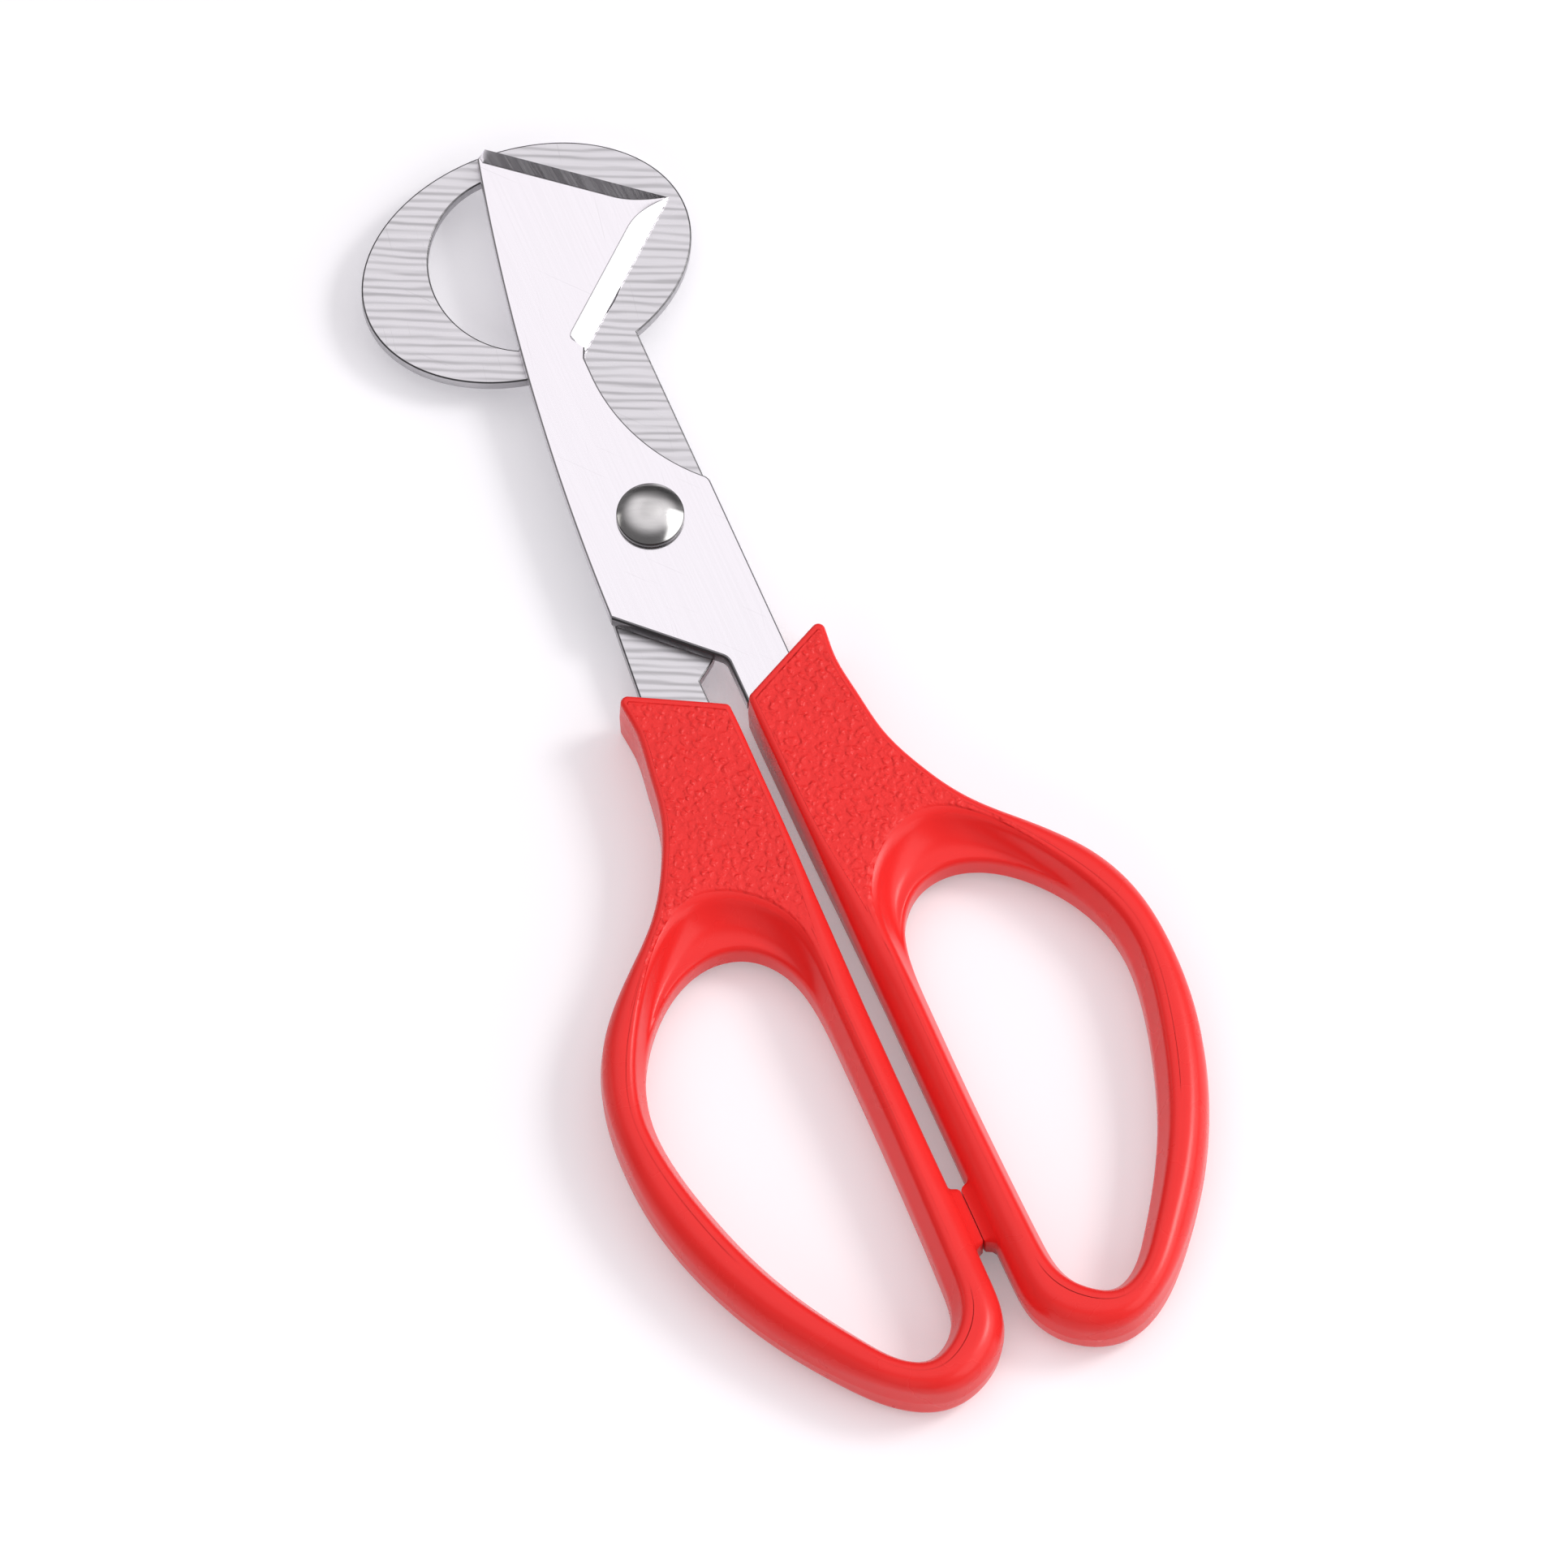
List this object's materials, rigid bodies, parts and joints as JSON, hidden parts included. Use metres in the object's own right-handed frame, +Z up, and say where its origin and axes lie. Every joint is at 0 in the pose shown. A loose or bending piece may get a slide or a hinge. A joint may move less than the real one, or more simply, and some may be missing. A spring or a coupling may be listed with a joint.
{
  "type": "quail egg scissors",
  "caption": "Egg-topping scissors: an oval ring holds the egg, a pointed blade riveted to it shears across the hole, and moulded loop grips work the pair.",
  "frame": {"origin": "middle of the closed tool's footprint, on the table", "axes": "+Y from the grips to the head, +X to the right seen from above with the cutting blade on top, +Z up from the table"},
  "size_m": [0.0586, 0.144, 0.0075],
  "materials": {
    "ground_steel": "surface-ground stainless steel with coarse parallel lines",
    "polished_steel": "polished stainless steel with ground bevels",
    "red_plastic": "moulded red plastic, glossy loops, pebbled necks",
    "rivet_steel": "bright turned steel"
  },
  "bodies": {
    "ring_half": {"ring_blade": "ground_steel", "ring_grip": "red_plastic", "pivot_rivet": "rivet_steel", "rivet_washer": "rivet_steel"},
    "cutting_half": {"cutting_blade": "polished_steel", "cutting_grip": "red_plastic"}
  },
  "joints": [
    {"name": "blade_pivot", "type": "hinge", "parent": "ring_half", "child": "cutting_half", "pos_m": [0, 0.02783, 0.0038], "axis": [0, 0, 1], "range_deg": [0, 125]}
  ]
}
